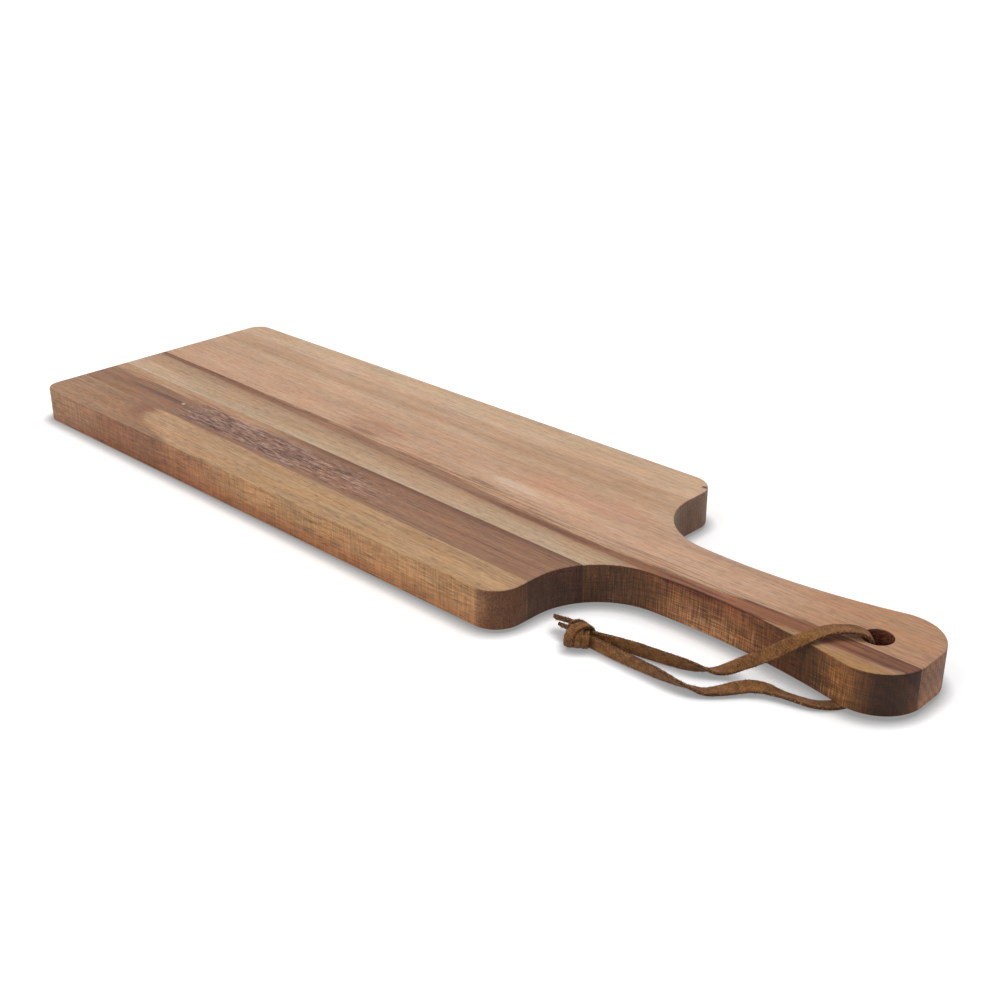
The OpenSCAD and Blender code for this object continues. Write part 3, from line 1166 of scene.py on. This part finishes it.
@dataclass
class Thong:
    """Flat lace through the hole, in millimetres from the foot of the hole's axis.

    A route row holds a place, then the heading and the lift of the lace's width in degrees.
    """

    foot: Vector
    leather: bpy.types.Material
    width: float = 5.5
    thick: float = 1.5
    rough: float = 0.22
    step: float = 0.7
    path_points: int = 36
    rubbed: float = 34.0
    knot_mid: Point3 = (-99.6, -57.7, 4.8)
    knot_turn: float = 34.4
    wrap_width: float = 3.0
    wrap_turns: float = 2.35
    wrap_radius: float = 4.5
    wrap_length: float = 6.9
    wrap_squash: float = 0.95
    band_extra: float = 0.9
    band_press: float = 0.85
    loop_press: float = 0.75
    core_width: float = 6.4
    core_thick: float = 6.2
    nap_density: float = 1.6
    nap_reach: float = 1.0
    nap_root: float = 0.08
    table_gap: float = 0.03
    sharp: float = 60.0
    upper: Tuple[Row, ...] = (
        (-1, -1.2, 10, -45, 0), (-1, -1.2, 14, -45, 0), (-1.2, -1.7, 17.4, -46, 0), (-1.8, -2.6, 20.4, -46, 0),
        (-3.4, -4.1, 22.6, -44, -2), (-6.5, -6.2, 23.5, -40, -4), (-9.9, -9.2, 23.7, -36, -6),
        (-12.6, -12.8, 23.9, -31, -8), (-14.5, -16.8, 23.8, -26, -12), (-16.5, -20.9, 23.2, -22, -22),
        (-19.3, -24.6, 21.4, -18, -32), (-23.1, -27.5, 18.5, -16, -40), (-27.7, -29.7, 14.7, -18, -42),
        (-32.7, -31.3, 10.9, -22, -40), (-37.7, -32.6, 7.2, -28, -34), (-42.2, -35, 4.1, -36, -18),
        (-46.2, -37.5, 2.4, -44, 6), (-49.7, -39.8, 2.4, -52, 34), (-53.7, -42, 2.9, -62, 62),
        (-60.5, -43.8, 3, -76, 84), (-69.1, -45.7, 3.05, -84, 96), (-77.7, -47.3, 3.05, -88, 100),
        (-85.7, -49.4, 3.2, -88, 98), (-91.2, -51.4, 3.5, -80, 92), (-95.2, -53.4, 4, -70, 90),
        (-97.7, -54.8, 4.4, -64, 90))
    lower: Tuple[Row, ...] = (
        (-1, -1.2, 10, -45, 0), (-1, -1.2, 7, -45, 0), (-0.9, -1.3, 4, -34, 0), (-0.3, -2.4, 1.8, -10, 0),
        (0.7, -4.6, 1, 4, 0), (1.5, -9.2, 0.9, 0, 0), (1.5, -15.2, 0.9, -4, 0), (0.3, -21.2, 0.9, -20, 0),
        (-2.7, -26.2, 0.95, -42, 0), (-7.7, -30.2, 1.25, -62, 6), (-14.2, -32.2, 1.6, -72, 12),
        (-20.2, -33.8, 2, -70, 6), (-25.2, -35.8, 2.9, -60, -14), (-29.2, -38.8, 3.4, -50, -27),
        (-33.1, -42.7, 2.9, -44, -26), (-37.2, -47.3, 1.9, -48, -8), (-41.5, -51.5, 1.4, -60, 8),
        (-45.7, -53.8, 2.2, -72, 28), (-51.2, -55.2, 2.7, -82, 48), (-58.2, -55.7, 3, -88, 70),
        (-66.7, -55.9, 3.05, -90, 84), (-76.7, -56.1, 3.05, -90, 94), (-85.7, -56.1, 3.1, -90, 97),
        (-91.2, -56.2, 3.3, -86, 94), (-95.2, -56.8, 3.6, -76, 90), (-98.2, -57.8, 4, -64, 90))
    long_tail: Tuple[Row, ...] = (
        (-99.7, -53.6, 6.4, -80, 30), (-104.2, -52.8, 6.2, -78, 36), (-107.7, -52.6, 5.9, -70, 40),
        (-111.7, -53.6, 5.9, -56, 40), (-115, -54.7, 6, -48, 40))
    short_tail: Tuple[Row, ...] = (
        (-100.7, -56.2, 4.6, -80, 25), (-104.7, -55.6, 4.5, -74, 32), (-107.7, -55.5, 4.5, -66, 38),
        (-110.8, -56, 4.6, -54, 38))
    band: Tuple[Row, ...] = (
        (-3.6, 4.0, 2.4, 30, 0), (-3.7, 4.9, 4.8, 26, -4), (-3.3, 4.6, 7.0, 14, -12), (-2.0, 3.2, 8.9, -4, -20),
        (0.0, 1.6, 9.9, -16, -18), (2.2, -0.2, 9.8, -18, -8), (3.9, -2.0, 8.4, -12, 0), (4.6, -3.5, 6.2, 0, 0),
        (4.6, -4.3, 3.6, 10, 0))
    loop: Tuple[Row, ...] = (
        (-4.4, -0.6, 5.6, -56, 20), (-4.2, -1.1, 8.0, -56, 24), (-2.8, -1.6, 9.8, -56, 30),
        (-0.8, -1.9, 10.5, -56, 32), (1.2, -2.2, 10.0, -56, 28), (2.6, -2.5, 8.4, -56, 22),
        (3.2, -2.8, 5.8, -56, 16))
    core: Tuple[Row, ...] = (
        (-3.9, 0.2, 4.6, 124, 0), (-2, 0, 4.8, 124, 0), (0, 0, 4.8, 124, 0), (2, 0, 4.8, 124, 0),
        (3.9, -0.2, 4.6, 124, 0))

    def on_knot(self, rows: Sequence[Row]) -> List[Row]:
        """Turn rows along, before and above the knot's axis into places of the lace.

        Args:
            rows: The knot's rows.

        Returns:
            The rows from the foot of the hole's axis.
        """
        cos, sin = math.cos(math.radians(self.knot_turn)), math.sin(math.radians(self.knot_turn))
        return [(self.knot_mid[0] + along * cos + near * sin, self.knot_mid[1] + along * sin - near * cos, *rest)
                for along, near, *rest in rows]

    def smooth(self, route: Sequence[Row]) -> List[List[float]]:
        """Run an even, smooth curve through a route's rows.

        Args:
            route: The rows.

        Returns:
            Rows about one step apart.
        """
        rows = [list(route[0])] + [list(r) for r in route] + [list(route[-1])]
        out: List[List[float]] = []
        for a, b, c, d in zip(rows, rows[1:], rows[2:], rows[3:]):
            count = max(2, round(math.dist(b[:3], c[:3]) / self.step))
            for i in range(count):
                t = i / count
                out.append([0.5 * (2 * q + (r - p) * t + (2 * p - 5 * q + 4 * r - s) * t * t
                                   + (3 * q - p - 3 * r + s) * t ** 3) for p, q, r, s in zip(a, b, c, d)])
        out.append(list(route[-1]))
        return out

    def path(self, route: Sequence[Row]) -> List[Vector]:
        """Thin out a route's centre line.

        Args:
            route: The rows.

        Returns:
            Its points, in frame metres.
        """
        rows = self.smooth(route)
        picks = [round(i * (len(rows) - 1) / (self.path_points - 1)) for i in range(self.path_points)]
        return [(Vector(rows[i][:3]) + self.foot) * MM for i in picks]

    def line(self, route: Sequence[Row]) -> bpy.types.Mesh:
        """Lay out a route as points that carry the direction of the lace's flat side.

        Args:
            route: The rows.

        Returns:
            A mesh of edges.
        """
        rows = self.smooth(route)
        spots = [Vector(r[:3]) for r in rows]
        data = bpy.data.meshes.new("line")
        data.from_pydata(spots, [(i, i + 1) for i in range(len(spots) - 1)], [])
        flats = data.attributes.new("flat", "FLOAT_VECTOR", "POINT")
        for i, row in enumerate(rows):
            run = (spots[min(i + 1, len(spots) - 1)] - spots[max(i - 1, 0)]).normalized()
            turn, lift = math.radians(row[3]), math.radians(row[4])
            wide = Vector((math.cos(turn) * math.cos(lift), math.sin(turn) * math.cos(lift), math.sin(lift)))
            wide = (wide - wide.dot(run) * run).normalized()
            flats.data[i].vector = run.cross(wide)
        return data

    def shape(self) -> Dict[Strand, bpy.types.Mesh]:
        """Shape the strands, the tails and the knot.

        Returns:
            The meshes by piece, in millimetres from the foot of the hole's axis.
        """
        lace, wrap = lace_jig(), wrap_jig()
        plain = {"Width": self.width, "Thickness": self.thick, "Rough": self.rough}
        snug = {**plain, "Width": self.wrap_width + self.band_extra, "Thickness": self.thick * self.band_press}
        thin = {**plain, "Width": self.wrap_width, "Thickness": self.thick * self.loop_press}
        fat = {**plain, "Width": self.core_width, "Thickness": self.core_thick}
        routes = {Strand.UPPER: (self.upper, plain), Strand.LOWER: (self.lower, plain),
                  Strand.LONG_TAIL: (self.long_tail, plain), Strand.SHORT_TAIL: (self.short_tail, plain),
                  Strand.BAND: (self.on_knot(self.band), snug), Strand.LOOP: (self.on_knot(self.loop), thin),
                  Strand.CORE: (self.on_knot(self.core), fat)}
        made = {strand: lace.run(self.line(route), sizes, self.leather) for strand, (route, sizes) in routes.items()}
        coil = wrap.run(bpy.data.meshes.new("coil"), {
            **thin, "Thickness": self.thick, "Turns": self.wrap_turns, "Radius": self.wrap_radius,
            "Length": self.wrap_length}, self.leather)
        coil.transform(Matrix.Translation(self.knot_mid) @ Matrix.Rotation(math.radians(self.knot_turn), 4, "Z")
                       @ Matrix.Rotation(math.pi / 2, 4, "Y") @ Matrix.Diagonal((self.wrap_squash, 1.0, 1.0, 1.0))
                       @ Matrix.Translation((0.0, 0.0, -self.wrap_length / 2)))
        made[Strand.WRAP] = coil
        return made

    def nap(self, meshes: Sequence[bpy.types.Mesh]) -> bpy.types.Mesh:
        """Set loose fibres on the leather, away from the handle that it rubs on.

        Args:
            meshes: The shaped pieces.

        Returns:
            One mesh of fibres.
        """
        spots: List[Vector] = []
        faces: List[List[int]] = []
        for mesh in meshes:
            first = len(spots)
            spots += [v.co.copy() for v in mesh.vertices]
            faces += [[first + i for i in face.vertices] for face in mesh.polygons
                      if math.hypot(face.center.x, face.center.y) > self.rubbed]
        skin = bpy.data.meshes.new("skin")
        skin.from_pydata(spots, [], faces)
        sizes = {"Density": self.nap_density, "Reach": self.nap_reach, "Root": self.nap_root}
        return nap_jig().run(skin, sizes, self.leather)

    def place(self, name: str, data: bpy.types.Mesh) -> bpy.types.Object:
        """Move a shaped mesh to its place, above the table, and make it an object.

        Args:
            name: The object's name.
            data: The mesh, in millimetres.

        Returns:
            The object.
        """
        for vert in data.vertices:
            vert.co.z = max(vert.co.z, self.table_gap)
        data.transform(Matrix.Scale(MM, 4) @ Matrix.Translation(self.foot))
        data.set_sharp_from_angle(angle=math.radians(self.sharp))
        data.name = name
        return put(name, data)


@dataclass(frozen=True)
class Lamp:
    """One far soft lamp that shines on the board's middle from its place.

    Its spread is its width as seen from the board, in degrees. At level 1 it shows white as white on a sheet that
    faces it.
    """

    name: str
    place: Point3
    spread: float
    level: float

    def hang(self) -> None:
        """Add the lamp."""
        light = bpy.data.lights.new(self.name, "SUN")
        light.angle = math.radians(self.spread)
        light.energy = self.level * math.pi
        holder = put(self.name, light)
        holder.location = self.place
        holder.rotation_euler = (-Vector(self.place)).to_track_quat("-Z", "Y").to_euler()


@dataclass
class Studio:
    """White table, soft lamps, one high behind and one low in front on the left, and the camera."""

    eye: Point3 = (0.443421, -0.43016, 0.29606)
    turn: Point3 = (64.734, 0.0, 43.891)
    lens: float = 50.904
    sensor: float = 36.0
    sight: Point2 = (0.01, 50.0)
    sky_level: float = 0.38
    lamps: Tuple[Lamp, ...] = (Lamp("high_lamp", (0.08, 0.63, 1.6), 34.0, 0.39),
                               Lamp("front_lamp", (-0.6, -1.2, 0.66), 70.0, 0.46))
    table_half: float = 6.0
    table_white: Colour = (0.95, 0.95, 0.95, 1.0)
    table_glow: float = 0.30
    bounce_grey: Colour = (0.5, 0.5, 0.5, 1.0)
    # Reach, power and samples of the painted contact shadow on the table.
    contact_shadow_reach: float = 0.0065
    contact_shadow_power: float = 2.3
    contact_shadow_samples: int = 8

    def camera(self) -> None:
        """Set the camera."""
        data = bpy.data.cameras.new("camera")
        data.lens = self.lens
        data.sensor_width = self.sensor
        data.clip_start, data.clip_end = self.sight
        holder = put("camera", data)
        holder.location = self.eye
        holder.rotation_euler = [math.radians(a) for a in self.turn]
        bpy.context.scene.camera = holder

    def table(self) -> None:
        """Lay the white table: white to the camera, and it keeps the shadow; ambient occlusion near the wood paints a
        contact shadow into its colour.
        """
        bench = Bench("white_table")
        path = bench.node("ShaderNodeLightPath")
        seen = [Wire(bench, path.outputs[f"Is {kind} Ray"]) for kind in ("Camera", "Glossy", "Transmission")]
        shown = bench.math("MINIMUM", seen[0] + seen[1] + seen[2], 1.0)
        # Painted contact shadow: ambient occlusion darkens the table's colour near the wood and lace.
        near = bench.take("ShaderNodeAmbientOcclusion", {"samples": self.contact_shadow_samples},
                          {"Distance": self.contact_shadow_reach}, "AO")
        shade = bench.mix(BLACK, self.table_white, bench.math("POWER", near, self.contact_shadow_power))
        matt = bench.take("ShaderNodeBsdfDiffuse", None, {"Color": shade})
        glow = bench.take("ShaderNodeEmission", None, {"Color": WHITE, "Strength": self.table_glow})
        both = bench.take("ShaderNodeAddShader", None, {0: matt, 1: glow})
        grey = bench.take("ShaderNodeBsdfDiffuse", None, {"Color": self.bounce_grey})
        pick = bench.take("ShaderNodeMixShader", None, {0: shown, 1: grey, 2: both})
        bench.node("ShaderNodeOutputMaterial", None, {"Surface": pick})
        data = bpy.data.meshes.new("table")
        half = self.table_half
        data.from_pydata([(-half, -half, 0), (half, -half, 0), (half, half, 0), (-half, half, 0)], [], [(0, 1, 2, 3)])
        data.materials.append(bench.material)
        top = put("table", data)

    def world(self) -> None:
        """Set soft light all round, with plain white behind the table."""
        world = bpy.data.worlds.new("studio")
        world.use_nodes = True
        sky = Nodes(world.node_tree)
        seen = sky.take("ShaderNodeLightPath", out="Is Camera Ray")
        level = sky.take("ShaderNodeMix", None, {0: seen, 2: self.sky_level, 3: 1.0})
        back = sky.take("ShaderNodeBackground", None, {"Color": WHITE, "Strength": level})
        sky.node("ShaderNodeOutputWorld", None, {0: back})
        bpy.context.scene.world = world


STAVES: Tuple[StaveFinish, ...] = (
    NearFinish("tan_stave", "tan_wood", 1.0, 0.9, (
        (-96, (164, 112, 75)), (-88, (170, 120, 82)), (-82, (177, 131, 94)), (-77, (184, 144, 106)),
        (-70, (184, 147, 110)), (-64, (179, 143, 107)), (-58, (185, 149, 112)), (-53, (178, 142, 106)),
        (-44, (183, 147, 110))),
        contrast=1.9, end_tint=(0.37, 0.275, 0.255, 1.0), corner=1.0),
    DarkFinish("dark_stave", "dark_wood", 2.0, 0.8, (
        (-68, (140, 104, 82)), (-50, (158, 122, 96)), (-46, (150, 114, 90)), (-42, (157, 119, 94)),
        (-38, (148, 110, 87)), (-34, (156, 118, 93)), (-29, (150, 112, 88)), (-16, (146, 108, 84))),
        contrast=1.4, end_tint=(0.36, 0.32, 0.31, 1.0)),
    PaleFinish("pale_stave", "pale_wood", 3.0, 0.7, (
        (-44, (160, 120, 86)), (-32, (178, 144, 112)), (-22, (194, 168, 140)), (-19, (189, 161, 133)),
        (-15, (187, 158, 129)), (-10, (182, 150, 121)), (-3, (180, 147, 119)), (8, (192, 156, 129))),
        contrast=1.6, end_tint=(0.40, 0.26, 0.20, 1.0), side_tone=(
            (0.0, 0.85), (0.08, 0.62), (0.14, 0.60), (0.2, 0.75), (0.26, 0.98), (0.33, 0.97), (0.45, 1.0),
            (0.52, 1.0), (0.6, 0.8), (0.67, 0.58), (0.75, 0.46), (0.82, 1.0), (0.87, 0.8), (0.91, 0.55),
            (1.0, 0.75))),
    WideFinish("wide_stave", "pink_wood", 4.0, 0.8, (
        (-18, (184, 142, 114)), (4, (198, 160, 133)), (12, (202, 164, 136)), (18, (200, 162, 134)),
        (23, (194, 156, 129)), (30, (195, 160, 132)), (37, (198, 163, 135)), (42, (204, 171, 143)),
        (47, (187, 151, 122)), (52, (197, 163, 135)), (56, (194, 159, 131)), (62, (210, 178, 150)),
        (70, (203, 172, 142)), (78, (201, 170, 140)), (94, (196, 162, 130))),
        side_tone=((0.0, 1.0), (0.94, 1.0), (0.99, 1.3), (1.0, 1.7))),
)


def dress_board(paddle: Paddle) -> None:
    """Make the staves and glue lines and give each its finish.

    Args:
        paddle: Sizes of the board.
    """
    half, joints, glue = paddle.glue_t / 2, paddle.joints(), GlueFinish()
    lows = [None, *(joint + half for joint in joints)]
    highs = [*(joint - half for joint in joints), None]
    pieces = list(zip(("near_stave", "dark_stave", "pale_stave", "wide_stave"), STAVES, lows, highs))
    pieces += [(node, glue, joint - half, joint + half)
               for node, joint in zip(("glue_near", "glue_mid", "glue_far"), joints)]
    made = {finish.name: finish.make(paddle) for finish in (*STAVES, glue)}
    blank = paddle.blank()
    for node, finish, low, high in pieces:
        piece = paddle.lay(paddle.strip(blank, low, high), f"{node}_dressed")
        piece.data.materials.append(made[finish.name])
        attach(piece, "board")
        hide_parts(node)
        LOG.info("%s: %d faces", piece.name, len(piece.data.polygons))
    blank.free()


def dress_thong(paddle: Paddle) -> None:
    """Make the lace, its knot and its tails.

    Args:
        paddle: Sizes of the board, for the hole's place.
    """
    leather = LeatherFinish()
    thong = Thong(paddle.hole_foot, leather.make())
    shaped = thong.shape()
    shaped[Strand.NAP] = thong.nap(list(shaped.values()))
    made: Dict[Strand, bpy.types.Object] = {}
    for strand, data in shaped.items():
        piece = thong.place(strand.title, data)
        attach(piece, "thong")
        if strand.nodes:
            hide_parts(*strand.nodes)
        made[strand] = piece
        LOG.info("%s: %d faces", piece.name, len(piece.data.polygons))
    lower_rest = [Strand.SHORT_TAIL]
    upper_rest = [s for s in made if s not in (Strand.UPPER, Strand.LOWER, *lower_rest)]
    for strand, route, rest in ((Strand.UPPER, thong.upper, upper_rest), (Strand.LOWER, thong.lower, lower_rest)):
        line = thong.path(route)
        length = sum((b - a).length for a, b in zip(line, line[1:]))


def main() -> None:
    """Build the studio, the thong and the board."""
    logging.basicConfig(level=logging.INFO, format="%(name)s: %(message)s")
    bpy.context.scene.view_settings.view_transform = "Standard"
    studio = Studio()
    studio.camera()
    studio.world()
    for lamp in studio.lamps:
        lamp.hang()
    studio.table()
    paddle = Paddle()
    dress_thong(paddle)
    dress_board(paddle)


if __name__ == "__main__":
    main()
